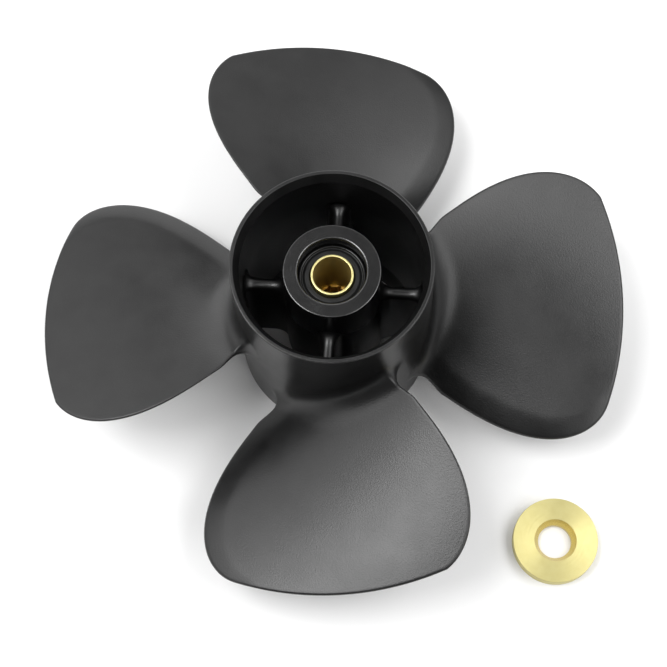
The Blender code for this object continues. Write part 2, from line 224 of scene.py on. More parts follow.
# Rubber
RUBBER_PATCH = 4 * MM
RUBBER_COLOURS = ((0.004, 0.004, 0.004), (0.007, 0.007, 0.007))
RUBBER_ROUGHNESS = (0.32, 0.40)
RUBBER_BEAD_ROUGHNESS = (0.16, 0.20)
RUBBER_BEAD_FADE = 0.3 * MM
RUBBER_SPECULAR = 0.38
RUBBER_GRAIN = 0.5 * MM
RUBBER_GRAIN_HEIGHT = 0.02 * MM

# Brass of the sleeve and of the washer
BRASS_PATCH = 3 * MM
SLEEVE_END_COLOURS = ((0.77, 0.69, 0.30), (0.81, 0.74, 0.36))
# The sleeve's plain bore is painted dark brown as painted shade deep in the bore, and its tooth ends
# bright orange as painted glints
SLEEVE_BORE_SHADE_COLOURS = ((0.50, 0.40, 0.15), (0.56, 0.46, 0.18))
SLEEVE_TEETH_GLINT_COLOURS = ((0.86, 0.58, 0.20), (0.92, 0.64, 0.24))
SLEEVE_END_ROUGHNESS = (0.32, 0.38)
SLEEVE_BORE_ROUGHNESS = (0.46, 0.54)
SLEEVE_GRAIN = 0.2 * MM
SLEEVE_GRAIN_HEIGHT = 0.0008 * MM
WASHER_FACE_COLOURS = ((0.55, 0.49, 0.215), (0.58, 0.525, 0.245))
WASHER_HOLE_COLOURS = ((0.50, 0.39, 0.10), (0.58, 0.46, 0.14))
WASHER_FACE_ROUGHNESS = (0.44, 0.50)
WASHER_HOLE_ROUGHNESS = (0.22, 0.26)
WASHER_MARKS = 0.8 * MM
WASHER_MARKS_HEIGHT = 0.04 * MM
WASHER_ANISOTROPY = 0.58
WASHER_ANISOTROPY_TURN = 0.25

# Camera, fitted to the photograph
CAMERA_ELEVATION = math.radians(71.53)
CAMERA_ROLL = math.radians(3.31)
CAMERA_DISTANCE = 619.2 * MM
CAMERA_TARGET = Vector((-0.79, -12.25, 40.0)) * MM
CAMERA_LENS = 82.82

# Studio
FLOOR_SIZE = 12.0
FLOOR_DROP = 0.05 * MM
FLOOR_COLOUR = (0.8, 0.8, 0.8, 1.0)
FLOOR_ROUGHNESS = 0.9
STUDIO_CENTRE = Vector((0.0, 0.0, 40.0)) * MM
WORLD_COLOUR = (1.0, 1.0, 1.0, 1.0)
WORLD_STRENGTH = 0.2

# Soft boxes overhead, then walls: name, place, direction of the width, width, depth and radiance
ACROSS = (1.0, 0.0, 0.0)
UPRIGHT = (0.0, 0.0, 1.0)
SOFTBOXES = (
    ("left_key", (-0.48, 0.0, 1.2), ACROSS, 0.5, 0.6, 10.4),
    ("left_fill", (-1.3, 0.1, 1.2), ACROSS, 0.9, 1.8, 2.3),
    ("right_key", (0.75, -0.15, 1.2), ACROSS, 0.6, 0.7, 5.5),
    ("right_front", (0.75, -1.0, 1.2), ACROSS, 0.6, 0.8, 3.3),
    ("right_fill", (1.5, 0.0, 1.2), ACROSS, 0.7, 1.8, 1.5),
    ("right_back", (0.7, 0.5, 1.2), ACROSS, 0.5, 0.4, 2.4),
    ("back_box", (-0.35, 1.1, 1.2), ACROSS, 1.5, 0.8, 1.72),
    ("far_back_box", (0.75, 1.1, 1.2), ACROSS, 0.7, 0.8, 0.95),
    ("top_box", (0.0, -0.45, 1.2), ACROSS, 0.4, 0.3, 2.45),
    ("back_wall", (0.0, 1.8, 0.35), ACROSS, 3.0, 0.7, 2.3),
    ("left_wall", (-1.8, 0.0, 0.35), UPRIGHT, 0.7, 3.0, 0.6),
    ("right_wall", (1.8, 0.0, 0.35), UPRIGHT, 0.7, 3.0, 0.55),
)


def mix(low, high, share):
    """The value a share of the way from low to high."""
    return low + (high - low) * share


def smooth(share):
    """A share from 0 to 1, eased at both ends."""
    share = min(max(share, 0.0), 1.0)
    return share * share * (3 - 2 * share)


def polar_point(radius, angle, height):
    """A point at an angle from +X about the shaft axis."""
    return Vector((radius * math.cos(angle), radius * math.sin(angle), height))


def add_piece(name, bm, node, material):
    """Turn a bmesh into the visible piece that stands for a CAD node."""
    bmesh.ops.recalc_face_normals(bm, faces=bm.faces)
    if bm.calc_volume(signed=True) < 0:
        bmesh.ops.reverse_faces(bm, faces=bm.faces)
    mesh = bpy.data.meshes.new(name)
    bm.to_mesh(mesh)
    bm.free()
    mesh.shade_smooth()
    mesh.materials.append(material)
    piece = bpy.data.objects.new(name, mesh)
    bpy.context.scene.collection.objects.link(piece)
    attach(piece, "root")
    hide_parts(node)
    return piece


def rounded(corners):
    """A closed outline through (x, y, radius) corners, each rounded by an arc of that radius."""
    outline = []
    for before, here, after in zip(corners[-1:] + corners[:-1], corners, corners[1:] + corners[:1]):
        corner = Vector(here[:2])
        radius = here[2]
        back = (Vector(before[:2]) - corner).normalized()
        ahead = (Vector(after[:2]) - corner).normalized()
        half = back.angle(ahead) / 2
        reach = radius / math.tan(half)
        centre = corner + (back + ahead).normalized() * radius / math.sin(half)
        start = corner + back * reach - centre
        sweep = start.angle_signed(corner + ahead * reach - centre)
        outline.append(corner + back * (reach + ARC_SUPPORT))
        for step in range(ARC_STEPS + 1):
            outline.append(centre + Matrix.Rotation(-sweep * step / ARC_STEPS, 2) @ start)
        outline.append(corner + ahead * (reach + ARC_SUPPORT))
    return outline


def skin(bm, loops):
    """Faces between closed loops of as many vertices, in order."""
    for first, second in zip(loops, loops[1:]):
        for here in range(len(first)):
            before = here - 1
            bm.faces.new((first[before], first[here], second[here], second[before]))


def spin(bm, profile, centre=(0.0, 0.0)):
    """Turn a closed (radius, height) profile about a vertical axis."""
    loops = []
    for step in range(SPIN_STEPS):
        turn = math.tau * step / SPIN_STEPS
        east, north = math.cos(turn), math.sin(turn)
        loops.append([bm.verts.new((centre[0] + radius * east, centre[1] + radius * north, height))
                      for radius, height in profile])
    skin(bm, loops + loops[:1])


def fillet_steps(reach, rise):
    """(distance from the wall, growth of the section) along an elliptical fillet, from its wall.

    The fillet reaches so far out from the wall and rises so far along it. The first step is a short
    skirt that runs on along the wall and sinks just below it, so that the fillet leaves the wall
    without a crease.
    """
    steps = [(-SKIRT_SINK, rise + SKIRT_LENGTH)]
    for row in range(FILLET_ROWS + 1):
        turn = math.pi / 2 * row / FILLET_ROWS
        steps.append((reach * (1 - math.cos(turn)), rise * (1 - math.sin(turn))))
    return steps


def fillet_growth(distance, reach, rise):
    """The growth of the section at a distance from the wall, for such a fillet."""
    if distance < 0:
        return rise + SKIRT_LENGTH
    turn = math.acos(max(1 - distance / reach, 0.0))
    return rise * (1 - math.sin(turn))


def barrel_outer_radius(height):
    """The barrel's drafted outer radius at a height."""
    return mix(BARREL_HIGH.x, BARREL_AFT_RADIUS, height / BARREL_HIGH.z)


def hub_outer_radius(height):
    """The inner hub's drafted outer radius at a height."""
    return mix(HUB_HIGH.x, HUB_TOP_RADIUS, (height - HUB_LOW.z) / (HUB_HIGH.z - HUB_LOW.z))


def build_barrel(material):
    """The outer tube: a drafted outside, a rounded aft lip and an inside that narrows forward."""
    profile = rounded([
        (BARREL_AFT_RADIUS, BARREL_HIGH.z, BARREL_LIP_ROUND),
        (BARREL_HIGH.x, BARREL_LOW.z, BARREL_EDGE_ROUND),
        (BARREL_FORWARD_INNER_RADIUS, BARREL_LOW.z, BARREL_EDGE_ROUND),
        (BARREL_WAIST_RADIUS, BARREL_WAIST_BOTTOM, BARREL_BEND_ROUND),
        (BARREL_WAIST_RADIUS, BARREL_WAIST_TOP, BARREL_BEND_ROUND),
        (BARREL_STEP_RADIUS, BARREL_STEP_HEIGHT, BARREL_EDGE_ROUND),
        (BARREL_RIM_INNER_RADIUS, BARREL_HIGH.z, BARREL_EDGE_ROUND),
    ])
    bm = bmesh.new()
    spin(bm, profile)
    add_piece("cast_barrel", bm, "outer_barrel", material)


def build_hub(material):
    """The inner tube with its flat aft face and the edge of its bore."""
    profile = rounded([
        (HUB_TOP_RADIUS, HUB_HIGH.z, HUB_RIM_ROUND),
        (HUB_HIGH.x, HUB_LOW.z, HUB_EDGE_ROUND),
        (HUB_BORE_RADIUS, HUB_LOW.z, HUB_EDGE_ROUND),
        (HUB_BORE_RADIUS, HUB_HIGH.z, HUB_MOUTH_ROUND),
    ])
    bm = bmesh.new()
    spin(bm, profile)
    add_piece("cast_hub", bm, "inner_hub", material)


def rib_section(offset):
    """(across, height) points round a rib's section, grown outwards by an offset."""
    half = RIB_THICKNESS / 2 + offset
    top = RIB_TOP + offset
    bottom = RIB_BOTTOM - offset
    corners = ((half, top), (-half, top), (-half, bottom), (half, bottom))
    return rounded([(across, height, RIB_EDGE_ROUND + offset) for across, height in corners])


def rib_loop(bm, wall_radius, way, distance, growth, turn):
    """One loop of a rib, at a distance from its wall; way is 1 outwards and -1 inwards."""
    loop = []
    for across, height in rib_section(growth):
        radius = wall_radius(height) + way * distance
        along = math.sqrt(radius * radius - across * across)
        point = Vector((along, across, height))
        point.rotate(Matrix.Rotation(turn, 3, "Z"))
        loop.append(bm.verts.new(point))
    return loop


def build_rib(index, material):
    """One rib: a rounded bar from hub to barrel that flares into a fillet at both ends."""
    turn = RIB_FIRST_ANGLE + index * math.tau / RIB_COUNT
    bm = bmesh.new()
    steps = fillet_steps(RIB_FILLET_REACH, RIB_FILLET_RISE)
    loops = [rib_loop(bm, hub_outer_radius, 1, distance, growth, turn)
             for distance, growth in steps]
    loops += [rib_loop(bm, lambda height: BARREL_WAIST_RADIUS, -1, distance, growth, turn)
              for distance, growth in reversed(steps)]
    skin(bm, loops)
    bm.faces.new(loops[0])
    bm.faces.new(loops[-1])
    add_piece(f"cast_rib_{index + 1}", bm, f"rib_{index + 1}", material)


def build_bushing(material):
    """The rubber ring between hub and sleeve: a bead, a valley, and a flat land round the sleeve."""
    low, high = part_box("rubber_bushing")
    sleeve_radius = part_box("splined_sleeve")[1].x
    outer = HUB_BORE_RADIUS - PRESS_CLEARANCE
    inner = sleeve_radius + PRESS_CLEARANCE
    land = high.z - BUSHING_LAND_DROP
    valley = high.z - BUSHING_VALLEY_DEPTH
    profile = rounded([
        (BUSHING_BEAD_RADIUS, high.z, BUSHING_BEAD_ROUND),
        (outer, high.z - BUSHING_SHOULDER, BUSHING_EDGE_ROUND),
        (outer, low.z, BUSHING_EDGE_ROUND),
        (inner, low.z, BUSHING_EDGE_ROUND),
        (inner, valley, BUSHING_EDGE_ROUND / 2),
        (BUSHING_LAND_INNER_RADIUS, land, BUSHING_EDGE_ROUND),
        (BUSHING_LAND_OUTER_RADIUS, land, BUSHING_EDGE_ROUND),
        (BUSHING_VALLEY_RADIUS, valley, BUSHING_EDGE_ROUND),
    ])
    bm = bmesh.new()
    spin(bm, profile)
    add_piece("rubber_ring", bm, "rubber_bushing", material)


def spline_radius(share):
    """The bore's radius at a share of one tooth's pitch, from the middle of a tooth to the next."""
    from_tooth = min(share, 1 - share) * 2
    flank = (from_tooth - SPLINE_LAND_SHARE) / SPLINE_FLANK_SHARE
    return mix(SPLINE_TIP_RADIUS, SPLINE_ROOT_RADIUS, min(max(flank, 0.0), 1.0))


def sleeve_loop(bm, radii, height):
    """A closed loop round the sleeve at a height, from the radii over one tooth's pitch."""
    count = SPLINE_COUNT * SPLINE_POINTS
    return [bm.verts.new(polar_point(radii[step % SPLINE_POINTS],
                                     SPLINE_FIRST_ANGLE + math.tau * step / count, height))
            for step in range(count)]


def build_sleeve(material):
    """The brass tube: round outside, a plain bore at the aft end and splines below it.

    The splines' own loops take the place of the outline's points in the bore's splined part.
    """
    low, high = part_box("splined_sleeve")
    edge = SLEEVE_EDGE_ROUND
    outline = rounded([
        (SLEEVE_BORE_RADIUS, high.z, edge),
        (high.x, high.z, SLEEVE_RIM_ROUND),
        (high.x, low.z, edge),
        (SPLINE_ROOT_RADIUS, low.z, edge / 2),
        (SLEEVE_BORE_RADIUS, SPLINE_TOP, edge / 2),
    ])
    toothed = [spline_radius(point / SPLINE_POINTS) for point in range(SPLINE_POINTS)]
    bm = bmesh.new()
    loops = [sleeve_loop(bm, [radius] * SPLINE_POINTS, height) for radius, height in outline
             if height > SPLINE_TOP or radius > SLEEVE_BORE_RADIUS]
    loops.append(sleeve_loop(bm, toothed, low.z))
    loops.append(sleeve_loop(bm, toothed, SPLINE_TOP))
    loops.append(sleeve_loop(bm, [SLEEVE_BORE_RADIUS] * SPLINE_POINTS, SPLINE_TOP))
    skin(bm, loops + loops[:1])
    sleeve = add_piece("brass_sleeve", bm, "splined_sleeve", material)
    sleeve.data.set_sharp_from_angle(angle=SLEEVE_SHARP_ANGLE)


def build_washer(material):
    """The turned ring on the floor, whose hole narrows from its upper face to a short bore."""
    low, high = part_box("thrust_washer")
    centre = (low + high) / 2
    outer = (high.x - low.x) / 2
    profile = rounded([
        (outer, high.z, WASHER_EDGE_ROUND),
        (outer, low.z, WASHER_EDGE_ROUND),
        (WASHER_BORE_RADIUS, low.z, WASHER_MOUTH_ROUND),
        (WASHER_BORE_RADIUS, WASHER_BORE_TOP, WASHER_MOUTH_ROUND),
        (WASHER_MOUTH_RADIUS, high.z, WASHER_MOUTH_ROUND),
    ])
    bm = bmesh.new()
    spin(bm, profile, centre)
    add_piece("brass_washer", bm, "thrust_washer", material)


def edge_angle(radius, root_angle, tip_angle, straight_radius, fullness):
    """A blade edge: radial out to a radius, then part of a quarter ellipse in to the tip arc's end.

    A fullness of 1 takes the whole quarter; less than 1 cuts it short, which leaves a soft corner.
    """
    if radius <= straight_radius:
        return root_angle
    share = fullness * min((radius - straight_radius) / (TIP_RADIUS - straight_radius), 1.0)
    return mix(tip_angle, root_angle, math.sqrt(1 - share * share))


def waist(radius):
    """The angle by which each edge draws in near the root."""
    share = (WAIST_OUTER_RADIUS - radius) / (WAIST_OUTER_RADIUS - WAIST_INNER_RADIUS)
    return WAIST_ANGLE * smooth(share)


def leading_angle(radius):
    """The leading edge's angle at a radius."""
    angle = edge_angle(radius, LEADING_ANGLE, LEADING_TIP_ANGLE, LEADING_STRAIGHT_RADIUS, 1.0)
    return angle + waist(radius)


def trailing_angle(radius):
    """The trailing edge's angle at a radius."""
    angle = edge_angle(radius, TRAILING_ANGLE, TRAILING_TIP_ANGLE, TRAILING_STRAIGHT_RADIUS,
                       TRAILING_FULLNESS)
    return angle - waist(radius)


def span_share(radius):
    """0 at the blade's root and 1 at its tip."""
    return (radius - ROOT_RADIUS) / (TIP_RADIUS - ROOT_RADIUS)


def edge_fall(angle):
    """The fall's growth with the angle: quadratic, but straight towards the trailing edge."""
    bend = min(angle, EDGE_FALL_STRAIGHT_ANGLE)
    return bend * (2 * angle - bend)


def face_height(radius, angle):
    """The height of the blade's aft face, away from its bevel."""
    share = span_share(radius)
    helix = mix(ROOT_PITCH, TIP_PITCH, share) * angle / math.tau
    axis = ROOT_HEIGHT + RAKE_SLOPE * (radius - ROOT_RADIUS) - TIP_FALL * share ** 2
    return axis + helix - mix(ROOT_EDGE_FALL, TIP_EDGE_FALL, share) * edge_fall(angle) + FACE_RAISE


def blade_thickness(radius, angle):
    """Thickness square to the blade: full on the chord's middle, thin at the edges and the tip."""
    leading = leading_angle(radius)
    trailing = trailing_angle(radius)
    chord_place = min(max(2 * (angle - leading) / (trailing - leading) - 1, -1.0), 1.0)
    taper = max(1 - span_share(radius), 0.0) ** THICKNESS_TAPER_POWER
    return EDGE_THICKNESS + (ROOT_THICKNESS - EDGE_THICKNESS) * taper * (1 - chord_place ** 2)


def bevel_drop(edge_distance, outline_angle):
    """How far the aft face falls towards the leading edge, near the outline at an angle."""
    share = (outline_angle - LEADING_ANGLE) / (BEVEL_END_ANGLE - LEADING_ANGLE)
    if share >= 1:
        return 0.0
    narrowing = 1 - max(share, 0.0) ** BEVEL_NARROWING_POWER
    width = BEVEL_WIDTH * narrowing
    soft = BEVEL_SOFTNESS * narrowing
    reach = soft * math.log1p(math.exp((width - edge_distance) / soft))
    steepening = (BEVEL_EDGE_SLOPE - BEVEL_INNER_SLOPE) * reach / (2 * width)
    return (BEVEL_INNER_SLOPE + steepening) * reach


def blade_point(radius, angle, edge_distance, outline_angle, side):
    """A point of a blade before it is turned into place; side is 1 on the aft face, -1 behind."""
    slope = mix(ROOT_PITCH, TIP_PITCH, span_share(radius)) / (math.tau * radius)
    upright = math.sqrt(1 + slope * slope)
    half_edge = EDGE_THICKNESS / 2
    inset = 1 - min(edge_distance / half_edge, 1.0)
    rounding = half_edge * (1 - math.sqrt(1 - inset * inset))
    height = face_height(radius, angle) - bevel_drop(edge_distance, outline_angle)
    if side > 0:
        return polar_point(radius, angle, height - rounding * upright)
    thickness = blade_thickness(radius, angle)
    return polar_point(radius, angle, height - (thickness - rounding) * upright)


def column_distances(length):
    """Distances in from a blade's edge: round the edge, across the bevel, then on to the spine."""
    half_edge = EDGE_THICKNESS / 2
    edge = [half_edge * (1 - math.cos(math.pi / 2 * step / EDGE_ROUND_COLUMNS))
            for step in range(EDGE_ROUND_COLUMNS)]
    band = [mix(half_edge, BAND_REACH, step / BAND_COLUMNS) for step in range(BAND_COLUMNS)]
    inner = [mix(BAND_REACH, length, step / INNER_COLUMNS) for step in range(INNER_COLUMNS + 1)]
    return edge + band + inner


def blade_row(radius):
    """A closed row round a blade: over the aft face to the trailing edge, then back behind it."""
    row = []
    for side in (1, -1):
        halves = []
        for edge, way in ((leading_angle(radius), 1), (trailing_angle(radius), -1)):
            halves.append([blade_point(radius, edge + way * distance / radius, distance, edge, side)
                           for distance in column_distances(radius * abs(SPINE_ANGLE - edge))])
        whole = halves[0] + halves[1][-2::-1]
        row += whole if side > 0 else whole[-2:0:-1]
    return row


def face_fillet(chord_place):
    """The root fillet's reach and rise on the faces: fullest near the chord's middle."""
    if chord_place < FILLET_FULL_PLACE:
        share = smooth((1 + chord_place) / (1 + FILLET_FULL_PLACE))
        reach = mix(FILLET_LEADING_REACH, FILLET_REACH, share)
    else:
        share = smooth((1 - chord_place) / (1 - FILLET_FULL_PLACE))
        reach = mix(FILLET_TRAILING_REACH, FILLET_REACH, share)
    share = smooth((1 + chord_place) / FILLET_LEADING_SHARE)
    return reach, mix(FILLET_LEADING_RISE, FILLET_RISE, share)


def row_places():
    """The place on the chord, from -1 to 1, of each point of a row."""
    length = ROOT_RADIUS * (SPINE_ANGLE - LEADING_ANGLE)
    half = [distance / length - 1 for distance in column_distances(length)]
    whole = half + [-place for place in half[-2::-1]]
    return whole + whole[-2:0:-1]


def fillet_row(distance):
    """The row of the root fillet at a distance from the barrel.

    The blade's section there grows outwards: by the face fillet square to the chord, and by the
    edges' own fillets along it.
    """
    radius = ROOT_RADIUS + max(distance, 0.0)
    chord = Vector((1.0, ROOT_PITCH / (math.tau * radius))).normalized()
    flat = [Vector((radius * math.atan2(point.y, point.x), point.z)) for point in blade_row(radius)]
    row = []
    for here, place in enumerate(row_places()):
        run = (flat[(here + 1) % len(flat)] - flat[here - 1]).normalized()
        outward = Vector((-run.y, run.x))
        lengthways = chord * outward.dot(chord)
        edge_radius = mix(FILLET_LEADING_RADIUS, FILLET_TRAILING_RADIUS, (1 + place) / 2)
        grown = flat[here] + lengthways * fillet_growth(distance, edge_radius, edge_radius)
        grown += (outward - lengthways) * fillet_growth(distance, *face_fillet(place))
        row.append(polar_point(barrel_outer_radius(grown.y) + distance, grown.x / radius, grown.y))
    return row


def ellipse_radius(share, straight_radius, fullness):
    """The radius on an edge's ellipse, from the pole radius at 0 to the tip arc at 1."""
    start = math.asin(fullness * (POLE_RADIUS - straight_radius) / (TIP_RADIUS - straight_radius))
    turn = mix(start, math.asin(fullness), share)
    return mix(straight_radius, TIP_RADIUS, math.sin(turn) / fullness)


def outline_place(ray):
    """(radius, angle) of a ray on a blade's outline beyond the pole radius, from its leading edge."""
    if ray > EDGE_RAYS + TIP_ARC_RAYS:
        share = (2 * EDGE_RAYS + TIP_ARC_RAYS - ray) / EDGE_RAYS
        radius = ellipse_radius(share, TRAILING_STRAIGHT_RADIUS, TRAILING_FULLNESS)
        return radius, trailing_angle(radius)
    if ray < EDGE_RAYS:
        radius = ellipse_radius(ray / EDGE_RAYS, LEADING_STRAIGHT_RADIUS, 1.0)
        return radius, leading_angle(radius)
    share = (ray - EDGE_RAYS) / TIP_ARC_RAYS
    return TIP_RADIUS, mix(LEADING_TIP_ANGLE, trailing_angle(TIP_RADIUS), share)


def ray_points(ray, side):
    """Points from the outline in to the pole, along one ray of the blade's outer part."""
    radius, angle = outline_place(ray)
    before = outline_place(ray - 0.5)
    after = outline_place(ray + 0.5)
    along = Vector(((after[1] - before[1]) * radius, after[0] - before[0])).normalized()
    inward = Vector(((SPINE_ANGLE - angle) * radius, POLE_RADIUS - radius))
    length = inward.length
    squareness = abs(along.x * inward.y - along.y * inward.x) / length
    points = []
    for distance in column_distances(length):
        share = distance / length
        points.append(blade_point(mix(radius, POLE_RADIUS, share), mix(angle, SPINE_ANGLE, share),
                                  distance * squareness, angle, side))
    return points


def blade_rows():
    """Every closed row from the barrel out to the pole radius."""
    rows = [fillet_row(distance) for distance, _ in fillet_steps(FILLET_REACH, FILLET_RISE)]
    for step in range(1, STRAIGHT_ROWS + 1):
        rows.append(blade_row(mix(ROOT_RADIUS + FILLET_REACH, POLE_RADIUS, step / STRAIGHT_ROWS)))
    return rows


def fill_ray(bm, first, second):
    """Quads between two rays that meet at the pole, with a triangle at the pole."""
    for here in range(len(first) - 2):
        bm.faces.new((first[here], second[here], second[here + 1], first[here + 1]))
    bm.faces.new((first[-2], second[-2], first[-1]))


def ray_line(bm, turn, edge, points, pole):
    """The vertices of one ray on one side: the shared edge, its own points, and the shared pole."""
    return [edge] + [bm.verts.new(turn @ point) for point in points[1:-1]] + [pole]


def build_blade(index, rows, rays, material):
    """One blade: rows out to the pole radius, then rays that fan round the rounded tip."""
    turn = Matrix.Rotation(index * math.tau / BLADE_COUNT, 3, "Z")
    bm = bmesh.new()
    loops = [[bm.verts.new(turn @ point) for point in row] for row in rows]
    skin(bm, loops)
    bm.faces.new(loops[0])
    last = loops[-1]
    columns = len(rays[0][0])
    top = last[:2 * columns - 1]
    back = top[:1] + last[:2 * columns - 2:-1] + top[-1:]
    fan = [(top[:columns], back[:columns])]
    for top_points, back_points in rays:
        edge = bm.verts.new(turn @ top_points[0])
        fan.append((ray_line(bm, turn, edge, top_points, top[columns - 1]),
                    ray_line(bm, turn, edge, back_points, back[columns - 1])))
    fan.append((top[:columns - 2:-1], back[:columns - 2:-1]))
    for (top_a, back_a), (top_b, back_b) in zip(fan, fan[1:]):
        fill_ray(bm, top_a, top_b)
        fill_ray(bm, back_b, back_a)
    add_piece(f"cast_blade_{index + 1}", bm, f"blade_{index + 1}", material)


def new_material(name):
    """A material with a node tree; returns it, its tree and its Principled shader."""
    material = bpy.data.materials.new(name)
    material.use_nodes = True
    tree = material.node_tree
    return material, tree, tree.nodes["Principled BSDF"]


def object_coordinates(tree):
    """The object's own coordinates, in metres."""
    return tree.nodes.new("ShaderNodeTexCoord").outputs["Object"]


def noise(tree, coordinates, feature, detail):
    """A noise whose features are about so many metres across."""
    node = tree.nodes.new("ShaderNodeTexNoise")
    node.inputs["Scale"].default_value = 1 / feature
    node.inputs["Detail"].default_value = detail
    tree.links.new(coordinates, node.inputs["Vector"])
    return node.outputs["Fac"]


def spread(tree, value, low, high):
    """A noise value mapped onto a range, for a roughness or a specular level that varies."""
    node = tree.nodes.new("ShaderNodeMapRange")
    node.inputs["From Min"].default_value = NOISE_RANGE[0]
    node.inputs["From Max"].default_value = NOISE_RANGE[1]
    node.inputs["To Min"].default_value = low
    node.inputs["To Max"].default_value = high
    tree.links.new(value, node.inputs["Value"])
    return node.outputs["Result"]


def two_tone(tree, value, first, second):
    """A colour that wanders between two."""
    node = tree.nodes.new("ShaderNodeValToRGB")
    for element, position, colour in zip(node.color_ramp.elements, NOISE_RANGE, (first, second)):
        element.position = position
        element.color = (*colour, 1.0)
    tree.links.new(value, node.inputs["Fac"])
    return node.outputs["Color"]


def blend(tree, share, first, second):
    """One value or colour at a share of 0, another at 1."""
    node = tree.nodes.new("ShaderNodeMixRGB")
    tree.links.new(share, node.inputs["Fac"])
    tree.links.new(first, node.inputs["Color1"])
    tree.links.new(second, node.inputs["Color2"])
    return node.outputs["Color"]


def bump(tree, value, height):
    """A bump of so many metres from a noise."""
    node = tree.nodes.new("ShaderNodeBump")
    node.inputs["Distance"].default_value = height
    tree.links.new(value, node.inputs["Height"])
    return node.outputs["Normal"]


def axis_distance(tree, coordinates, centre):
    """The distance from an upright axis."""
    flat = tree.nodes.new("ShaderNodeVectorMath")
    flat.operation = "MULTIPLY_ADD"
    flat.inputs[1].default_value = (1.0, 1.0, 0.0)
    flat.inputs[2].default_value = (-centre[0], -centre[1], 0.0)
    tree.links.new(coordinates, flat.inputs[0])
    length = tree.nodes.new("ShaderNodeVectorMath")
    length.operation = "LENGTH"
    tree.links.new(flat.outputs["Vector"], length.inputs[0])
    return length.outputs["Value"]


def beyond_radius(tree, coordinates, radius, width, centre=(0.0, 0.0)):
    """0 inside a radius from an upright axis and 1 beyond it, over a width."""
    node = tree.nodes.new("ShaderNodeMapRange")
    node.inputs["From Min"].default_value = radius
    node.inputs["From Max"].default_value = radius + width
    tree.links.new(axis_distance(tree, coordinates, centre), node.inputs["Value"])
    return node.outputs["Result"]


def turning_marks(tree, coordinates, centre, feature):
    """Rings of uneven height round an upright axis, about so many metres wide."""
    node = tree.nodes.new("ShaderNodeTexNoise")
    node.noise_dimensions = "1D"
    node.inputs["Scale"].default_value = 1 / feature
    node.inputs["Detail"].default_value = FINE_DETAIL
    tree.links.new(axis_distance(tree, coordinates, centre), node.inputs["W"])
    return node.outputs["Fac"]


def by_hub_zone(tree, place, edge, face, elsewhere):
    """One value on the edges of the hub's aft face, another on the face, a third on the rest."""
    past_mouth = beyond_radius(tree, place, HUB_FACE_INNER_RADIUS, HUB_FACE_FADE)
    past_face = beyond_radius(tree, place, HUB_FACE_OUTER_RADIUS, HUB_FACE_FADE)
    past_hub = beyond_radius(tree, place, HUB_EDGE_OUTER_RADIUS, HUB_EDGE_FADE)
    hub_end = blend(tree, past_mouth, edge, face)
    hub_end = blend(tree, past_face, hub_end, edge)
    return blend(tree, past_hub, hub_end, elsewhere)


def coat_material():
    """Satin black powder coat with an orange-peel grain, worn smooth on the hub's aft end."""
    material, tree, shader = new_material("black_coat")
    place = object_coordinates(tree)
    patches = noise(tree, place, COAT_PATCH, DETAIL)
    peel = noise(tree, place, COAT_PEEL, FINE_DETAIL)
    tree.links.new(two_tone(tree, patches, *COAT_COLOURS), shader.inputs["Base Color"])
    for name, edge, face, elsewhere in (
            ("Roughness", HUB_EDGE_ROUGHNESS, HUB_FACE_ROUGHNESS, COAT_ROUGHNESS),
            ("Specular IOR Level", HUB_EDGE_SPECULAR, HUB_FACE_SPECULAR, COAT_SPECULAR)):
        values = [spread(tree, patches, *pair) for pair in (edge, face, elsewhere)]
        tree.links.new(by_hub_zone(tree, place, *values), shader.inputs[name])
    tree.links.new(bump(tree, peel, COAT_PEEL_HEIGHT), shader.inputs["Normal"])
    return material


def rubber_material():
    """Dark moulded rubber with a dull sheen, smoother on its bead."""
    material, tree, shader = new_material("bushing_rubber")
    place = object_coordinates(tree)
    patches = noise(tree, place, RUBBER_PATCH, DETAIL)
    grain = noise(tree, place, RUBBER_GRAIN, DETAIL)
    tree.links.new(two_tone(tree, patches, *RUBBER_COLOURS), shader.inputs["Base Color"])
    dull = spread(tree, patches, *RUBBER_ROUGHNESS)
    smooth_bead = spread(tree, patches, *RUBBER_BEAD_ROUGHNESS)
    bead = beyond_radius(tree, place, BUSHING_VALLEY_RADIUS, RUBBER_BEAD_FADE)
    tree.links.new(blend(tree, bead, dull, smooth_bead), shader.inputs["Roughness"])
    tree.links.new(bump(tree, grain, RUBBER_GRAIN_HEIGHT), shader.inputs["Normal"])
    shader.inputs["Specular IOR Level"].default_value = RUBBER_SPECULAR
    return material


def sleeve_material():
    """Golden brass, bright on its turned end, with painted glints on the tooth ends and painted shade
    in the plain bore.
    """
    material, tree, shader = new_material("sleeve_brass")
    place = object_coordinates(tree)
    patches = noise(tree, place, BRASS_PATCH, DETAIL)
    grain = noise(tree, place, SLEEVE_GRAIN, FINE_DETAIL)
    bright = two_tone(tree, patches, *SLEEVE_END_COLOURS)
    dull = two_tone(tree, patches, *SLEEVE_BORE_SHADE_COLOURS)
    teeth_glint = two_tone(tree, patches, *SLEEVE_TEETH_GLINT_COLOURS)
    # Painted light by radius: the tooth ends take a bright orange painted glint, and the plain bore a
    # dull brown painted shade
    plain = beyond_radius(tree, place, SPLINE_ROOT_RADIUS, SLEEVE_BORE_RADIUS - SPLINE_ROOT_RADIUS)
    outside = beyond_radius(tree, place, SLEEVE_BORE_RADIUS, SLEEVE_EDGE_ROUND)
    inside = blend(tree, plain, teeth_glint, dull)
    tree.links.new(blend(tree, outside, inside, bright), shader.inputs["Base Color"])
    rough = spread(tree, patches, *SLEEVE_BORE_ROUGHNESS)
    polished = spread(tree, patches, *SLEEVE_END_ROUGHNESS)
    tree.links.new(blend(tree, outside, rough, polished), shader.inputs["Roughness"])
    tree.links.new(bump(tree, grain, SLEEVE_GRAIN_HEIGHT), shader.inputs["Normal"])
    shader.inputs["Metallic"].default_value = 1.0
    return material


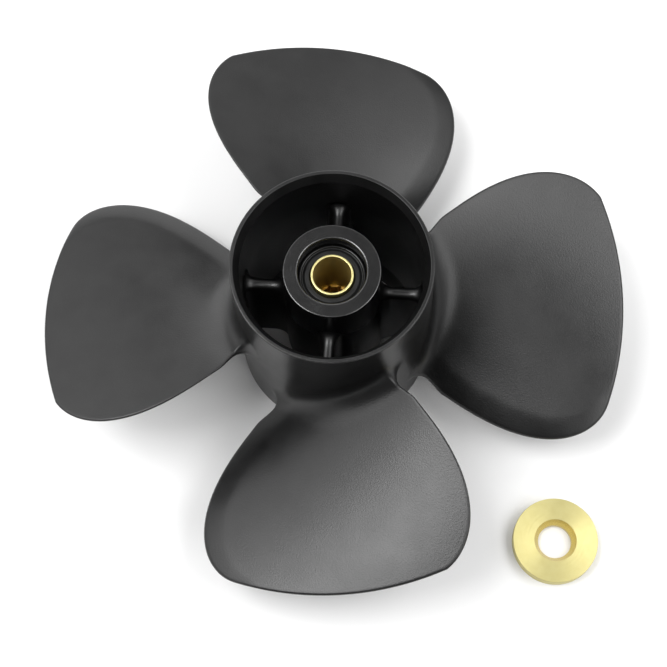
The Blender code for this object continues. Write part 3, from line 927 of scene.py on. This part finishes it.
def washer_material():
    """Pale turned brass with circular tool marks that stretch its highlights, golden in its hole."""
    material, tree, shader = new_material("washer_brass")
    place = object_coordinates(tree)
    low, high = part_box("thrust_washer")
    centre = (low + high) / 2
    patches = noise(tree, place, BRASS_PATCH, DETAIL)
    mouth = WASHER_MOUTH_RADIUS - WASHER_MOUTH_ROUND
    face = beyond_radius(tree, place, mouth, WASHER_MOUTH_ROUND, centre)
    pale = two_tone(tree, patches, *WASHER_FACE_COLOURS)
    gold = two_tone(tree, patches, *WASHER_HOLE_COLOURS)
    tree.links.new(blend(tree, face, gold, pale), shader.inputs["Base Color"])
    turned = spread(tree, patches, *WASHER_FACE_ROUGHNESS)
    bored = spread(tree, patches, *WASHER_HOLE_ROUGHNESS)
    tree.links.new(blend(tree, face, bored, turned), shader.inputs["Roughness"])
    marks = turning_marks(tree, place, centre, WASHER_MARKS)
    tree.links.new(bump(tree, marks, WASHER_MARKS_HEIGHT), shader.inputs["Normal"])
    tangent = tree.nodes.new("ShaderNodeTangent")
    tangent.direction_type = "RADIAL"
    tangent.axis = "Z"
    tree.links.new(tangent.outputs["Tangent"], shader.inputs["Tangent"])
    shader.inputs["Anisotropic"].default_value = WASHER_ANISOTROPY
    shader.inputs["Anisotropic Rotation"].default_value = WASHER_ANISOTROPY_TURN
    shader.inputs["Metallic"].default_value = 1.0
    return material


def floor_material():
    """Plain white studio floor."""
    material, _, shader = new_material("studio_floor")
    shader.inputs["Base Color"].default_value = FLOOR_COLOUR
    shader.inputs["Roughness"].default_value = FLOOR_ROUGHNESS
    shader.inputs["Specular IOR Level"].default_value = 0.0
    return material


def build_floor():
    """A wide white floor under the propeller and the washer."""
    bm = bmesh.new()
    bmesh.ops.create_grid(bm, x_segments=1, y_segments=1, size=FLOOR_SIZE / 2)
    mesh = bpy.data.meshes.new("floor")
    bm.to_mesh(mesh)
    bm.free()
    mesh.materials.append(floor_material())
    floor = bpy.data.objects.new("floor", mesh)
    floor.location.z = CAD_LOW.z - FLOOR_DROP
    bpy.context.scene.collection.objects.link(floor)


def add_softbox(name, place, along, width, depth, radiance):
    """A rectangular soft light that faces the propeller, with its width along a direction."""
    data = bpy.data.lights.new(name, "AREA")
    data.shape = "RECTANGLE"
    data.size = width
    data.size_y = depth
    data.energy = radiance * math.pi * width * depth
    light = bpy.data.objects.new(name, data)
    away = (Vector(place) - STUDIO_CENTRE).normalized()
    side = -Vector(along).cross(away).cross(away).normalized()
    turn = Matrix((side, away.cross(side), away)).transposed().to_4x4()
    light.matrix_world = Matrix.Translation(place) @ turn
    light.visible_camera = False
    bpy.context.scene.collection.objects.link(light)


def build_lights():
    """Soft boxes overhead on both sides and behind, with dim walls round the table."""
    for softbox in SOFTBOXES:
        add_softbox(*softbox)
    world = bpy.data.worlds.new("studio")
    world.use_nodes = True
    background = world.node_tree.nodes["Background"]
    background.inputs["Color"].default_value = WORLD_COLOUR
    background.inputs["Strength"].default_value = WORLD_STRENGTH
    bpy.context.scene.world = world


def build_camera():
    """The photograph's camera, high above the floor and slightly rolled."""
    back = Vector((0.0, -math.cos(CAMERA_ELEVATION), math.sin(CAMERA_ELEVATION)))
    right = Vector(ACROSS)
    up = back.cross(right)
    across = right * math.cos(CAMERA_ROLL) - up * math.sin(CAMERA_ROLL)
    upward = right * math.sin(CAMERA_ROLL) + up * math.cos(CAMERA_ROLL)
    data = bpy.data.cameras.new("camera")
    data.lens = CAMERA_LENS
    camera = bpy.data.objects.new("camera", data)
    turn = Matrix((across, upward, back)).transposed().to_4x4()
    camera.matrix_world = Matrix.Translation(CAMERA_TARGET + back * CAMERA_DISTANCE) @ turn
    bpy.context.scene.collection.objects.link(camera)
    bpy.context.scene.camera = camera


def build_propeller():
    """Every visible piece, over the frame."""
    coat = coat_material()
    build_barrel(coat)
    build_hub(coat)
    build_bushing(rubber_material())
    build_sleeve(sleeve_material())
    build_washer(washer_material())
    for index in range(RIB_COUNT):
        build_rib(index, coat)
    rows = blade_rows()
    rays = [(ray_points(ray, 1), ray_points(ray, -1))
            for ray in range(1, 2 * EDGE_RAYS + TIP_ARC_RAYS)]
    for index in range(BLADE_COUNT):
        build_blade(index, rows, rays, coat)


build_camera()
build_propeller()
build_floor()
build_lights()
bpy.context.scene.view_settings.view_transform = "Standard"
